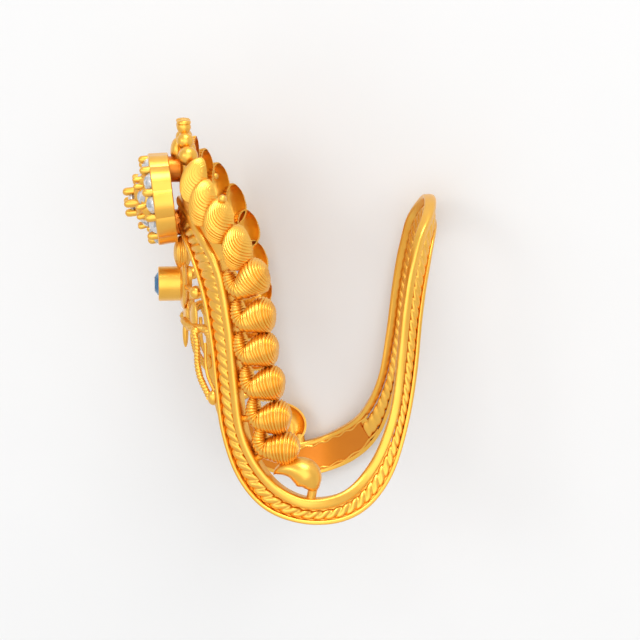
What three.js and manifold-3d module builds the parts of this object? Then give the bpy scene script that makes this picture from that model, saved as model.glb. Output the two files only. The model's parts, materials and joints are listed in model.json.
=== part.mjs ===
// A gold chevron finger ring: a saddle-shaped hoop that rises to a peak in front and behind the
// finger and dips at both sides, with a crest of shells, a stone-set flower, a bezel and beads.
// Everything is first built around the finger's axis (+Z), front to -X and right side to +Y, in
// millimetres, and the whole ring is then turned onto its right side, as it lies by itself.
import * as THREE from "three";
import { mergeVertices } from "three/addons/utils/BufferGeometryUtils.js";
import Module from "manifold-3d";

const wasm = await Module();
wasm.setup();

// ---- driving dimensions: millimetres, and degrees round the finger from the front ----
const INNER_RADIUS = 8.5;
const WALL = 1.05;
const OUTER_RADIUS = INNER_RADIUS + WALL;
const STONE_GAP = 0.06;

// The ring is bent by hand: its right side sags a little more at the dip (mm) and its rear arm
// stands a little further round (degrees) than on the left.
const SIDES = {
  left: { name: "left", sign: -1, reach: 1, sagLow: 0, sagHigh: 0, rearLow: 0, rearHigh: 0 },
  right: { name: "right", sign: 1, reach: 1.36, sagLow: 1.2, sagHigh: 0.4, rearLow: 5, rearHigh: 5 },
};

// How the ring lies: this direction of the upright ring points straight down, so that it rests on
// a shell of its right crest, on the rear of the right dip and on the right rear arm.
const DOWN = { x: 0.3714, y: 0.9208, z: 0.1189 };

// The hoop's two edges from the front peak (0) round one side to the rear peak (180).
const HOOP_ROWS = [
  { lowTurn: 0, lowZ: 7.4, highTurn: 0, highZ: 9.4 },
  { lowTurn: 14, lowZ: 6.65, highTurn: 17, highZ: 8.9 },
  { lowTurn: 25, lowZ: 5.1, highTurn: 31, highZ: 7.5 },
  { lowTurn: 33.5, lowZ: 2.7, highTurn: 43.5, highZ: 5.3 },
  { lowTurn: 38.5, lowZ: -0.6, highTurn: 50, highZ: 1.3 },
  { lowTurn: 41.5, lowZ: -3.9, highTurn: 53, highZ: -2.7 },
  { lowTurn: 44.5, lowZ: -6.6, highTurn: 56, highZ: -6.1 },
  { lowTurn: 51.5, lowZ: -9.4, highTurn: 61.5, highZ: -8.2 },
  { lowTurn: 61.5, lowZ: -11.4, highTurn: 70, highZ: -9.85 },
  { lowTurn: 73, lowZ: -12.5, highTurn: 79.5, highZ: -10.8 },
  { lowTurn: 88, lowZ: -13, highTurn: 90, highZ: -11.15 },
  { lowTurn: 103, lowZ: -12.75, highTurn: 102, highZ: -10.8 },
  { lowTurn: 116, lowZ: -11.6, highTurn: 112, highZ: -9.75 },
  { lowTurn: 127, lowZ: -9.5, highTurn: 121.5, highZ: -8 },
  { lowTurn: 136, lowZ: -6.2, highTurn: 129.5, highZ: -5.3 },
  { lowTurn: 142, lowZ: -2.8, highTurn: 134.5, highZ: -1.7 },
  { lowTurn: 146.5, lowZ: 1.1, highTurn: 138, highZ: 1.8 },
  { lowTurn: 152.5, lowZ: 3.9, highTurn: 143.5, highZ: 5 },
  { lowTurn: 163, lowZ: 6.3, highTurn: 154, highZ: 7.7 },
  { lowTurn: 180, lowZ: 7.2, highTurn: 180, highZ: 9.3 },
];
const STEPS_PER_ROW = 3;

// The hoop's section: across runs from the low edge (0) to the high edge (1), proud is measured
// from the finger's surface. A thin rim, a groove, the rope, a groove and the thick rail.
const HOOP_SECTION = [
  { across: 0, proud: 0 },
  { across: 0, proud: WALL },
  { across: 0.12, proud: WALL },
  { across: 0.18, proud: WALL - 0.3 },
  { across: 0.4, proud: WALL },
  { across: 0.64, proud: WALL - 0.3 },
  { across: 0.7, proud: WALL },
  { across: 0.9, proud: WALL },
  { across: 1, proud: WALL * 0.7 },
  { across: 1, proud: 0 },
];

// The shells of the crest, from the finial down, and the plain drop at its end: turn round the
// finger and height on each side, half the long and the short way, and how far the long way leans.
const CREST_RADIUS = 9.3;
const CREST_DEPTH = 0.72;
const CREST_ROWS = [
  { left: [22, 11.2], right: [24, 11.9], long: 2, short: 1.15, lean: 66 },
  { left: [31.5, 9.7], right: [33, 10.4], long: 2, short: 1.25, lean: 64 },
  { left: [43, 8.2], right: [43, 8.9], long: 1.9, short: 1.35, lean: 62 },
  { left: [51.5, 6.4], right: [51.5, 7.1], long: 1.85, short: 1.4, lean: 50 },
  { left: [57.5, 4.2], right: [57.5, 4.9], long: 1.8, short: 1.35, lean: 30 },
  { left: [61, 1.9], right: [62, 2.8], long: 1.85, short: 1.25, lean: 8 },
  { left: [62.5, -0.4], right: [63.5, 0.4], long: 1.85, short: 1.25, lean: 5 },
  { left: [64.5, -2.8], right: [65, -2.1], long: 1.9, short: 1.3, lean: 5 },
  { left: [66.5, -5.3], right: [66.5, -4.8], long: 1.85, short: 1.35, lean: 5 },
  { left: [69, -7.6], right: [69, -7.5], long: 1.7, short: 1.25, lean: -10 },
];
const DROPS = {
  left: { turn: 81, z: -9.6, long: 2.2, short: 1.1, lean: -22 },
  right: { turn: 81, z: -9.7, long: 2.6, short: 1.15, lean: -50 },
};

// The flower head stands on the front peak, its face leaning a little down.
const FLOWER = {
  x: -9.8,
  z: 9.3,
  tilt: 6,
  petals: 10,
  radius: 3.3,
  scallop: 0.14,
  depth: 1.45,
  recessRadius: 2.8,
  recessDepth: 0.75,
  collarRadius: 2.35,
  collarTop: 2.4,
  bossRadius: 1.05,
  bossTop: 2.8,
};
const FLOWER_POST = { radius: 1.1, offset: 1, back: -0.8, front: 1.2 };
const OUTER_STONES = {
  name: "outer_stone",
  count: 10,
  start: 18,
  ring: 2.78,
  height: 1.6,
  tilt: 32,
  radius: 0.62,
};
const INNER_STONES = {
  name: "inner_stone",
  count: 5,
  start: 0,
  ring: 1.6,
  height: 2.25,
  tilt: 28,
  radius: 0.55,
};
const CENTRE_STONE = { height: 3, radius: 0.62 };
const CENTRE_PRONGS = { count: 4, start: 45, ring: 0.78, radius: 0.24, bottom: 2, top: 3.5 };
const BEAD_PRONG = { radius: 0.34, lift: 0.05 };

// A round brilliant, as shares of its own radius.
const BRILLIANT = { table: 0.55, crown: 0.35, girdle: 0.12, pavilion: 0.8, sides: 10 };

// The tall bezel under the flower, with the blue stone.
const BEZEL = { z: 2.9, back: -8.7, front: -10.95, radius: 1.27, bore: 1.02, boreDepth: 1.1 };
const BLUE_STONE = { radius: 0.94, x: -10.86 };

// Beads and leaves of the front, as ellipsoids on the hoop's cylinder with half sizes outward,
// round the finger and up; those with a turn come in pairs, one on each side.
const FRONT_PIECES = {
  finialPlate: { turn: 0, z: 11.8, radius: 9.05, sizes: [0.4, 1.5, 3.1] },
  finialLeaf: { turn: 0, z: 12.7, radius: 9.4, sizes: [0.6, 0.8, 0.9] },
  topBead: { turn: 3.7, z: 14.65, radius: 9.2, sizes: [0.55, 0.55, 0.55] },
  secondBead: { turn: 7.2, z: 13.8, radius: 9.2, sizes: [0.55, 0.55, 0.55] },
  thirdBead: { turn: 11, z: 12.8, radius: 9.2, sizes: [0.58, 0.58, 0.58] },
  melonBead: { turn: 0, z: 5.9, radius: 9.4, sizes: [0.58, 0.85, 1.8] },
  bezelPlate: { turn: 0, z: 2.9, radius: 9.1, sizes: [0.4, 2.2, 2] },
  smallBead: { turn: 29.5, z: 3, radius: 9.3, sizes: [0.42, 0.72, 0.42] },
  leafBud: { turn: 0, z: 0.4, radius: 8.9, sizes: [0.42, 1.3, 1.9] },
  budBead: { turn: 26, z: 0.1, radius: 9.3, sizes: [0.5, 0.5, 0.5] },
  swagBead: { turn: 39.4, z: -4.3, radius: 9.3, sizes: [0.48, 0.5, 0.48] },
};
const SWAG = {
  radius: 0.26,
  sides: 6,
  steps: 14,
  rows: [
    { turn: 5, z: 0.6 },
    { turn: 15, z: 0.4 },
    { turn: 26, z: 0.1 },
    { turn: 30, z: -1.1 },
    { turn: 30.5, z: -2.2 },
    { turn: 34, z: -3.3 },
    { turn: 39.4, z: -4.3 },
  ],
};

// The finger's hollow as a cutter, and how finely round things are faceted.
const HOLLOW = { length: 40, sides: 96 };
const FACETS = { bead: [9, 6], prong: [6, 4], rod: 8, post: 16, collar: 20, tube: 24, petal: 4 };

const GOLD = { color: 0xe9a836, roughness: 0.22, metalness: 1 };
const CLEAR_STONE = { color: 0xdfe6ee, roughness: 0.05, metalness: 0 };
const BLUE_GLASS = { color: 0x4f93bd, roughness: 0.05, metalness: 0 };

// ---- small helpers ----
const radians = THREE.MathUtils.degToRad;

function onHoop(turn, z, radius, sign) {
  const angle = radians(turn);
  return new THREE.Vector3(-radius * Math.cos(angle), sign * radius * Math.sin(angle), z);
}

function solidFrom(geometry, matrix = new THREE.Matrix4()) {
  const placed = geometry.clone().applyMatrix4(matrix);
  placed.deleteAttribute("normal");
  placed.deleteAttribute("uv");
  const merged = mergeVertices(placed, 1e-4);
  return new wasm.Manifold(
    new wasm.Mesh({
      numProp: 3,
      vertProperties: new Float32Array(merged.attributes.position.array),
      triVerts: new Uint32Array(merged.index.array),
    }),
  );
}

function geometryFrom(solid) {
  const mesh = solid.getMesh();
  const geometry = new THREE.BufferGeometry();
  geometry.setAttribute("position", new THREE.BufferAttribute(mesh.vertProperties, 3));
  geometry.setIndex(new THREE.BufferAttribute(mesh.triVerts, 1));
  geometry.computeVertexNormals();
  return geometry;
}

function ellipsoid(centre, along, across, out) {
  const ball = new THREE.SphereGeometry(1, ...FACETS.bead);
  const matrix = new THREE.Matrix4().makeBasis(along, across, out).setPosition(centre);
  if (matrix.determinant() < 0) {
    matrix.makeBasis(along, across.clone().negate(), out).setPosition(centre);
  }
  return solidFrom(ball, matrix);
}

function bead({ turn, z, radius, sizes }, sign) {
  const [outSize, roundSize, upSize] = sizes;
  return ellipsoid(
    onHoop(turn, z, radius, sign),
    onHoop(turn + 90, 0, roundSize, sign),
    new THREE.Vector3(0, 0, upSize),
    onHoop(turn, 0, outSize, sign),
  );
}

// ---- the hoop ----
function edgePoint(side, turn, z, sag, rear) {
  const dip = Math.sin(radians(turn)) ** 2;
  const rearArm = turn > 90 ? Math.sin(radians(2 * turn)) ** 2 : 0;
  return [side.sign * (turn + rear * rearArm), z - sag * dip];
}

function sideRows(side) {
  return HOOP_ROWS.map((row) => ({
    low: edgePoint(side, row.lowTurn, row.lowZ, side.sagLow, side.rearLow),
    high: edgePoint(side, row.highTurn, row.highZ, side.sagHigh, side.rearHigh),
  }));
}

// Both sides as one closed round, each point as arc length round the finger and height.
function edgeCurve(edge) {
  const right = sideRows(SIDES.right);
  const left = sideRows(SIDES.left).slice(1, -1).reverse();
  left.forEach((row) => {
    row.low[0] += 360;
    row.high[0] += 360;
  });
  const points = [...right, ...left].map((row) => {
    const [turn, z] = row[edge];
    return new THREE.Vector3(radians(turn) * OUTER_RADIUS, z, 0);
  });
  const start = points[0].clone();
  start.x += 2 * Math.PI * OUTER_RADIUS;
  points.push(start);
  return new THREE.CatmullRomCurve3(points, false, "centripetal");
}

function hoop() {
  const low = edgeCurve("low");
  const high = edgeCurve("high");
  const sections = 2 * (HOOP_ROWS.length - 1) * STEPS_PER_ROW;
  const ring = HOOP_SECTION.length;
  const positions = [];
  for (let i = 0; i < sections; i += 1) {
    const lowPoint = low.getPoint(i / sections);
    const highPoint = high.getPoint(i / sections);
    HOOP_SECTION.forEach(({ across, proud }) => {
      const point = lowPoint.clone().lerp(highPoint, across);
      const turn = THREE.MathUtils.radToDeg(point.x / OUTER_RADIUS);
      positions.push(...onHoop(turn, point.y, INNER_RADIUS + proud, 1));
    });
  }
  const index = [];
  for (let i = 0; i < sections; i += 1) {
    for (let j = 0; j < ring; j += 1) {
      const a = i * ring + j;
      const b = i * ring + ((j + 1) % ring);
      const c = ((i + 1) % sections) * ring + j;
      const d = ((i + 1) % sections) * ring + ((j + 1) % ring);
      index.push(a, b, c, b, d, c);
    }
  }
  const geometry = new THREE.BufferGeometry();
  geometry.setAttribute("position", new THREE.Float32BufferAttribute(positions, 3));
  geometry.setIndex(index);
  return solidFrom(geometry);
}

// ---- the crest: shells lying on the hoop's cylinder, their long way set by lean ----
function shell({ turn, z, long, short, lean }, sign) {
  const out = onHoop(turn, 0, 1, sign);
  const along = onHoop(turn + 90, 0, 1, sign).multiplyScalar(Math.cos(radians(lean)));
  along.z = Math.sin(radians(lean));
  const across = new THREE.Vector3().crossVectors(out, along);
  return ellipsoid(
    onHoop(turn, z, CREST_RADIUS, sign),
    along.multiplyScalar(long),
    across.multiplyScalar(short),
    out.multiplyScalar(CREST_DEPTH),
  );
}

function crest({ name, sign, reach }) {
  const shells = CREST_ROWS.map((row) => {
    const [turn, z] = row[name];
    return shell({ ...row, turn, z, long: row.long * reach }, sign);
  });
  return [...shells, shell(DROPS[name], sign)];
}

// ---- stones: one round brilliant, its girdle at z 0 and its table up ----
function brilliant(radius, grow = 0) {
  const girdle = radius + grow;
  const half = (radius * BRILLIANT.girdle) / 2;
  const profile = [
    [0, -half - radius * BRILLIANT.pavilion - grow],
    [girdle, -half],
    [girdle, half],
    [radius * BRILLIANT.table + grow, half + radius * BRILLIANT.crown + grow],
    [0, half + radius * BRILLIANT.crown + grow],
  ];
  const points = profile.map(([x, y]) => new THREE.Vector2(x, y));
  const lathe = new THREE.LatheGeometry(points, BRILLIANT.sides);
  return lathe.rotateX(Math.PI / 2);
}

// ---- places on the flower head ----
function flowerFrame() {
  const tilt = radians(FLOWER.tilt);
  const outward = new THREE.Vector3(-Math.cos(tilt), 0, -Math.sin(tilt));
  const sideways = new THREE.Vector3(0, 1, 0);
  const upward = new THREE.Vector3().crossVectors(sideways, outward);
  return new THREE.Matrix4().makeBasis(upward, sideways, outward).setPosition(FLOWER.x, 0, FLOWER.z);
}

function petalMatrix(turn, ring, height, tilt) {
  const spin = new THREE.Matrix4().makeRotationZ(radians(turn));
  const shift = new THREE.Matrix4().makeTranslation(ring, 0, height);
  const lean = new THREE.Matrix4().makeRotationY(radians(tilt));
  return flowerFrame().multiply(spin).multiply(shift).multiply(lean);
}

function stoneRing({ name, count, start, ring, height, tilt, radius }) {
  return Array.from({ length: count }, (_, i) => ({
    name: `${name}_${i + 1}`,
    radius,
    matrix: petalMatrix(start + (i * 360) / count, ring, height, tilt),
    look: CLEAR_STONE,
  }));
}

function stoneRows() {
  const facing = new THREE.Matrix4().makeRotationY(-Math.PI / 2);
  return [
    ...stoneRing(OUTER_STONES),
    ...stoneRing(INNER_STONES),
    {
      name: "centre_stone",
      radius: CENTRE_STONE.radius,
      matrix: petalMatrix(0, 0, CENTRE_STONE.height, 0),
      look: CLEAR_STONE,
    },
    {
      name: "blue_stone",
      radius: BLUE_STONE.radius,
      matrix: facing.setPosition(BLUE_STONE.x, 0, BEZEL.z),
      look: BLUE_GLASS,
    },
  ];
}

// ---- the flower's gold: scalloped cup, stepped collar, boss, and the prongs ----
function scallopedCup() {
  const outline = new THREE.Shape();
  const steps = FLOWER.petals * FACETS.petal;
  for (let i = 0; i < steps; i += 1) {
    const angle = (i * 2 * Math.PI) / steps;
    const radius = FLOWER.radius - FLOWER.scallop * Math.cos(angle * FLOWER.petals);
    const method = i === 0 ? "moveTo" : "lineTo";
    outline[method](radius * Math.cos(angle), radius * Math.sin(angle));
  }
  const cup = new THREE.ExtrudeGeometry(outline, { depth: FLOWER.depth, bevelEnabled: false });
  const recess = rodAlong(FLOWER.recessRadius, -FLOWER.recessDepth, FLOWER.recessDepth, FACETS.tube);
  return solidFrom(cup, flowerFrame()).subtract(solidFrom(recess, flowerFrame()));
}

function collar() {
  const profile = [
    [0, FLOWER.recessDepth],
    [FLOWER.collarRadius, FLOWER.recessDepth],
    [FLOWER.collarRadius, FLOWER.depth],
    [FLOWER.bossRadius, FLOWER.collarTop],
    [FLOWER.bossRadius * 0.9, FLOWER.bossTop],
    [0, FLOWER.bossTop],
  ];
  const points = profile.map(([x, y]) => new THREE.Vector2(x, y));
  const lathe = new THREE.LatheGeometry(points, FACETS.collar).rotateX(Math.PI / 2);
  return solidFrom(lathe, flowerFrame());
}

// A rod along +Z from one height to another.
function rodAlong(radius, bottom, top, sides) {
  const rod = new THREE.CylinderGeometry(radius, radius, top - bottom, sides);
  return rod.rotateX(Math.PI / 2).translate(0, 0, (top + bottom) / 2);
}

function beadProngs({ count, start, ring, height }) {
  const knob = new THREE.SphereGeometry(BEAD_PRONG.radius, ...FACETS.prong);
  const halfStep = 180 / count;
  return Array.from({ length: count }, (_, i) => {
    const turn = start + halfStep + (i * 360) / count;
    return solidFrom(knob, petalMatrix(turn, ring, height + BEAD_PRONG.lift, 0));
  });
}

function centreProngs() {
  const { count, start, ring, radius, bottom, top } = CENTRE_PRONGS;
  const rod = rodAlong(radius, bottom, top, FACETS.rod);
  return Array.from({ length: count }, (_, i) =>
    solidFrom(rod, petalMatrix(start + (i * 360) / count, ring, 0, 0)),
  );
}

function flower() {
  const { radius, offset, back, front } = FLOWER_POST;
  const post = rodAlong(radius, back, front, FACETS.post);
  return [
    scallopedCup(),
    collar(),
    solidFrom(post, petalMatrix(180, offset, 0, 0)),
    ...beadProngs(OUTER_STONES),
    ...beadProngs(INNER_STONES),
    ...centreProngs(),
  ];
}

// ---- the bezel, beads, leaves and swags of the front ----
function bezel() {
  const facing = new THREE.Matrix4().makeRotationY(-Math.PI / 2).setPosition(0, 0, BEZEL.z);
  const { back, front, radius, bore, boreDepth } = BEZEL;
  const tube = rodAlong(radius, -back, -front, FACETS.tube);
  const hole = rodAlong(bore, -front - boreDepth, 1 - front, FACETS.tube);
  return solidFrom(tube, facing).subtract(solidFrom(hole, facing));
}

function frontPieces() {
  return Object.values(FRONT_PIECES).flatMap((row) => {
    const signs = row.turn > 0 ? [-1, 1] : [1];
    return signs.map((sign) => bead(row, sign));
  });
}

function swag(side) {
  const points = SWAG.rows.map(({ turn, z }) => onHoop(turn, z, CREST_RADIUS, side.sign));
  const outline = new THREE.Shape();
  for (let i = 0; i < SWAG.sides; i += 1) {
    const angle = (i * 2 * Math.PI) / SWAG.sides;
    const method = i === 0 ? "moveTo" : "lineTo";
    outline[method](SWAG.radius * Math.cos(angle), SWAG.radius * Math.sin(angle));
  }
  const extrudePath = new THREE.CatmullRomCurve3(points);
  return solidFrom(
    new THREE.ExtrudeGeometry(outline, { steps: SWAG.steps, extrudePath, bevelEnabled: false }),
  );
}

// The finger's hollow, which nothing on the front may narrow.
function fingerHollow() {
  return solidFrom(rodAlong(INNER_RADIUS, -HOLLOW.length / 2, HOLLOW.length / 2, HOLLOW.sides));
}

function goldBody(stones) {
  const pieces = [
    ...Object.values(SIDES).flatMap((side) => [...crest(side), swag(side)]),
    ...flower(),
    ...frontPieces(),
    bezel(),
  ];
  const ornament = pieces.reduce((whole, piece) => whole.add(piece)).subtract(fingerHollow());
  const pockets = stones.map(({ radius, matrix }) => solidFrom(brilliant(radius, STONE_GAP), matrix));
  return pockets.reduce((body, pocket) => body.subtract(pocket), ornament.add(hoop()));
}

// ---- the assembly ----
function named(name, geometry, look) {
  const mesh = new THREE.Mesh(geometry, new THREE.MeshStandardMaterial(look));
  mesh.name = name;
  return mesh;
}

// Turns the upright ring so that DOWN points down and the finger's axis runs along +Y.
function restingTurn() {
  const up = new THREE.Vector3(-DOWN.x, -DOWN.y, -DOWN.z).normalize();
  const ahead = new THREE.Vector3(0, 0, 1).projectOnPlane(up).normalize();
  const sideways = new THREE.Vector3().crossVectors(ahead, up);
  const turned = new THREE.Matrix4().makeBasis(sideways, ahead, up).transpose();
  return new THREE.Quaternion().setFromRotationMatrix(turned);
}

const stones = stoneRows();
const ring = new THREE.Group();
ring.add(named("gold_ring_body", geometryFrom(goldBody(stones)), GOLD));
stones.forEach(({ name, radius, matrix, look }) => {
  const stone = named(name, brilliant(radius), look);
  stone.applyMatrix4(matrix);
  ring.add(stone);
});
ring.quaternion.copy(restingTurn());

// The origin is under the middle of the resting ring's box.
const box = new THREE.Box3().setFromObject(ring, true);
const middle = box.getCenter(new THREE.Vector3());
ring.position.set(-middle.x, -middle.y, -box.min.z);
const part = new THREE.Group();
part.add(ring);

export default part;
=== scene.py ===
import json
import math

import bmesh
import bpy
import numpy as np
from mathutils import Matrix


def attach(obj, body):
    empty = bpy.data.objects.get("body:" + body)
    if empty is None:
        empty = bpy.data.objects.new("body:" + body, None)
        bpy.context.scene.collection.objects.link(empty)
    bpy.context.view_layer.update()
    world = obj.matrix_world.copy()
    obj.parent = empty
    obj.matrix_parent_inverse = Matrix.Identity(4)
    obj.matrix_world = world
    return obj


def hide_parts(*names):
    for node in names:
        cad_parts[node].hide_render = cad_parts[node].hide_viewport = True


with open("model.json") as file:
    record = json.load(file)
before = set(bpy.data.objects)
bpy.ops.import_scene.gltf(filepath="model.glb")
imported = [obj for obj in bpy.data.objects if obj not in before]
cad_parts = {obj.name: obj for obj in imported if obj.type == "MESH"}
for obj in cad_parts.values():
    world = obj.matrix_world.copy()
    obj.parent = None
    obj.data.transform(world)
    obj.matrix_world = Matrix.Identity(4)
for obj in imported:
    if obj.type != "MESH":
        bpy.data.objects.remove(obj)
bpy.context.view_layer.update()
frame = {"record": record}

# ---------------------------------------------------------------- sizes, in millimetres and degrees
# The ring is made upright round the finger's axis (+Z), front to -X and right side to +Y, and every
# point is then turned and moved to where the ring lies.
MM = 0.001
DOWN = np.array([0.3714, 0.9208, 0.1189])
RING_MIDDLE = np.array(frame["record"]["mounts"][0]["pos_m"])

INNER_RADIUS = 8.5
WALL = 1.05
OUTER_RADIUS = INNER_RADIUS + WALL

# The ring is bent by hand: its right side sags a little more at the dip (mm) and its rear arm
# stands a little further round (degrees) than on the left.
SIDES = {
    "left": {"sign": -1, "sag": (0.0, 0.0), "rear": (0.0, 0.0)},
    "right": {"sign": 1, "sag": (1.2, 0.4), "rear": (5.0, 5.0)},
}

# The hoop's two edges from the front peak round one side to the rear peak: low edge's turn and
# height, high edge's turn and height.
HOOP_ROWS = np.array([
    (0, 7.4, 0, 9.4), (14, 6.65, 17, 8.9), (25, 5.1, 31, 7.5), (33.5, 2.7, 43.5, 5.3),
    (38.5, -0.6, 50, 1.3), (41.5, -3.9, 53, -2.7), (44.5, -6.6, 56, -6.1), (51.5, -9.4, 61.5, -8.2),
    (61.5, -11.4, 70, -9.85), (73, -12.5, 79.5, -10.8), (88, -13, 90, -11.15),
    (103, -12.75, 102, -10.8), (116, -11.6, 112, -9.75), (127, -9.5, 121.5, -8),
    (136, -6.2, 129.5, -5.3), (142, -2.8, 134.5, -1.7), (146.5, 1.1, 138, 1.8),
    (152.5, 3.9, 143.5, 5), (163, 6.3, 154, 7.7), (180, 7.2, 180, 9.3),
])
STEPS_PER_ROW = 24

# The rail is wider in the dips than on the arms: turns and widths.
RAIL_TURNS = (0, 60, 90, 112, 128, 145, 180)
RAIL_WIDTHS = (0.66, 0.68, 0.88, 0.84, 0.68, 0.62, 0.7)
RIM_WIDTH = 0.3
# The rope's three strands make a lump every pitch / 3, and it stops short of the wires. Hand is the
# way it twists; sharp and square are powers that shape the lumps and the flattened section.
ROPE = {"proud": 0.53, "thick": 0.44, "strands": 3, "pitch": 2.34, "groove": 0.36, "edge": 0.01,
        "step": 0.055, "hand": 1, "sharp": 0.8, "square": 2.8, "sides": 36}
# Smooth solder behind the rope, as far as a turn, a smooth plate in each dip, and the wavy seams
# along the plate's two edges.
WEB = {"back": 0.4, "front": 0.66, "until": 128, "inset": 0.15}
PLATE = {"turns": (54, 125), "back": 0.05, "front": 0.45, "inset": 0.12}
SEAM = {"first": 84, "last": 129, "inset": 0.42, "ripple": 0.07, "waves": 47, "proud": 0.04,
        "radius": 0.08}
# On the rear arms the band leans over, its high edge towards the finger, and is thinner: turns,
# degrees, and shares of its width and depth.
REAR_TURNS = (0, 85, 118, 131, 142, 151, 162, 180)
REAR_LEAN = (0, 0, 38, 39, 37, 19, 6, 0)
REAR_DEPTH = (1, 1, 0.62, 0.58, 0.55, 0.55, 0.7, 0.9)
REAR_WIDER = (1, 1, 1.12, 1.14, 1.12, 1.04, 1, 1)
# The right arm starts to lean only here, because the ring lies on its right dip.
RIGHT_LEAN = {"start": 110, "ramp": 22}
SOFTENING = 12

# The crest's raised shells from the finial down to the dip: turn, height, lean of the long way, size
# along it and across it, and which pattern it is.
SHELL_BASE = 8.62
SHELL_ROWS = {
    "left": [
        (23, 10.75, 46, 1.0, 0.98, "fan"), (31, 9.3, 60, 0.98, 0.98, "fan"),
        (42, 8.2, 58, 0.92, 1.02, "fan"), (52.5, 6.45, 62, 0.9, 1.02, "fan"),
        (57.8, 4.45, 24, 1.05, 1.02, "scroll"), (61, 1.9, 6, 1.0, 1.0, "scroll"),
        (62.3, -0.5, 4, 1.0, 1.0, "scroll"), (65.3, -2.9, 2, 1.0, 1.0, "scroll"),
        (68.2, -5.3, -6, 1.0, 1.0, "scroll"), (71.6, -7.45, -12, 1.05, 0.95, "scroll"),
    ],
    "right": [
        (23.5, 12.2, 84, 0.66, 0.42, "fan"), (34.5, 10.6, 80, 0.92, 0.85, "fan"),
        (45.6, 9.4, 84, 0.92, 0.85, "fan"), (56, 7.6, 84, 0.95, 0.85, "fan"),
        (63.6, 5.6, 84, 0.9, 0.85, "fan"), (68.3, 3.2, 88, 0.9, 0.8, "fan"),
        (67, 0.7, 6, 0.95, 0.95, "scroll"), (67, -1.8, 4, 0.95, 0.95, "scroll"),
        (68, -4.3, 4, 0.95, 0.95, "scroll"), (71.5, -6.8, -6, 0.95, 0.95, "scroll"),
    ],
}
# Each pattern's spine: along, across, half width, height.
SHELL_SPINES = {
    "fan": np.array([
        (-1.56, -0.2, 0.08, 0.3), (-1.45, -0.18, 0.45, 0.75), (-1.15, -0.08, 0.85, 1.05),
        (-0.6, 0.02, 1.2, 1.3), (0.0, 0.06, 1.32, 1.38), (0.6, 0.05, 1.22, 1.32),
        (1.1, 0.0, 0.9, 1.1), (1.4, -0.04, 0.5, 0.75), (1.52, -0.06, 0.08, 0.3),
    ]),
    "scroll": np.array([
        (-1.3, 1.25, 0.12, 0.35), (-1.4, 1.0, 0.4, 0.75), (-1.42, 0.5, 0.54, 0.92),
        (-1.28, -0.05, 0.66, 1.02), (-0.85, -0.38, 0.8, 1.12), (-0.3, -0.3, 1.0, 1.22),
        (0.25, -0.12, 1.2, 1.34), (0.8, 0.02, 1.26, 1.34), (1.25, 0.08, 1.0, 1.15),
        (1.52, 0.1, 0.55, 0.8), (1.62, 0.1, 0.08, 0.3),
    ]),
}
# Ribs: spacing, depth as a share of the shell's size, and how far they rise and sink about it.
RIB_PITCH = 0.24
RIB_DEPTH = 0.09
RIB_LEVEL = 0.6
# A fan's ribs lie aslant and bowed, a scroll's straight across.
SHELL_SLANT = {"fan": 0.42, "scroll": 0.0}
SHELL_BOW = {"fan": 0.3, "scroll": 0.0}
SHELL_METAL = 0.15
# The hollow is never narrower or lower than these shares of the outside.
HOLLOW_LEAST = {"half": 0.2, "height": 0.3}
# Lengths across a shell are true at this height above its base.
SHELL_MIDDLE = 0.7
SHELL_STEPS = 20
SHELL_POINTS = {"outer": 25, "inner": 11}
# The sheet starts clear of a fan's middle, but never past a share of the way to the rail.
SHEET = {"radius": 8.75, "thick": 0.25, "clear": 0.85, "share": 0.6, "steps": 8}
# Each rod: where it starts along its way to the rail, its radius at the rail and at the start.
ROD = {"scroll": (0.5, 0.22, 0.34), "drop": (0.1, 0.34, 0.34)}
ROD_HEIGHT = 0.35
ROD_SIDES = 12
RAIL_SINK = {"sheet": 0.5, "rod": 0.4}
DROP_FOOT = {"turn": 5.3, "z": -1.0}

DROPS = {
    "left": {"turn": 82.8, "z": -9.35, "size": 1.0, "lean": 0},
    "right": {"turn": 85.5, "z": -9.7, "size": 1.08, "lean": -30},
}
DROP_SPINE = np.array([
    (-2.15, -0.2, 0.05, 0.25), (-1.85, 0.05, 0.3, 0.55), (-1.35, 0.25, 0.52, 0.8),
    (-0.75, 0.3, 0.78, 1.0), (-0.15, 0.14, 1.02, 1.2), (0.3, -0.12, 1.12, 1.28),
    (0.62, -0.48, 1.0, 1.18), (0.8, -0.9, 0.7, 1.0), (0.88, -1.25, 0.4, 0.65),
    (0.92, -1.5, 0.08, 0.3),
])


# ---------------------------------------------------------------- places
def resting_turn():
    """The rotation that points DOWN at the floor, with the finger's axis along +Y."""
    up = -DOWN / np.linalg.norm(DOWN)
    ahead = np.array([0, 0, 1]) - up * up[2]
    ahead /= np.linalg.norm(ahead)
    return np.array([np.cross(ahead, up), ahead, up])


RESTING = resting_turn()


def to_world(points):
    return np.asarray(points) @ RESTING.T * MM + RING_MIDDLE


def on_hoop(turn, z, radius, sign=1):
    """Points at a turn from the front and a height, at a radius from the finger's axis."""
    turn, z, radius = np.broadcast_arrays(np.radians(turn), z, radius)
    return np.stack([-radius * np.cos(turn), sign * radius * np.sin(turn), z], -1)


def smooth_through(rows, steps, closed=False, period=0):
    """A smooth curve through rows of numbers, with steps points for each gap between two rows."""
    rows = np.asarray(rows, float)
    if closed:
        lead = np.concatenate([rows[-1:] - period, rows, rows[:2] + period])
    else:
        lead = np.concatenate([2 * rows[:1] - rows[1:2], rows, 2 * rows[-1:] - rows[-2:-1]])
    a, b, c, d = (lead[i:len(lead) - 3 + i, None] for i in range(4))
    t = (np.arange(steps) / steps)[None, :, None]
    bend = 2 * b + (c - a) * t + (2 * a - 5 * b + 4 * c - d) * t**2 + (3 * b - a - 3 * c + d) * t**3
    curve = (bend / 2).reshape(-1, rows.shape[1])
    return curve if closed else np.concatenate([curve, rows[-1:]])


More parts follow.
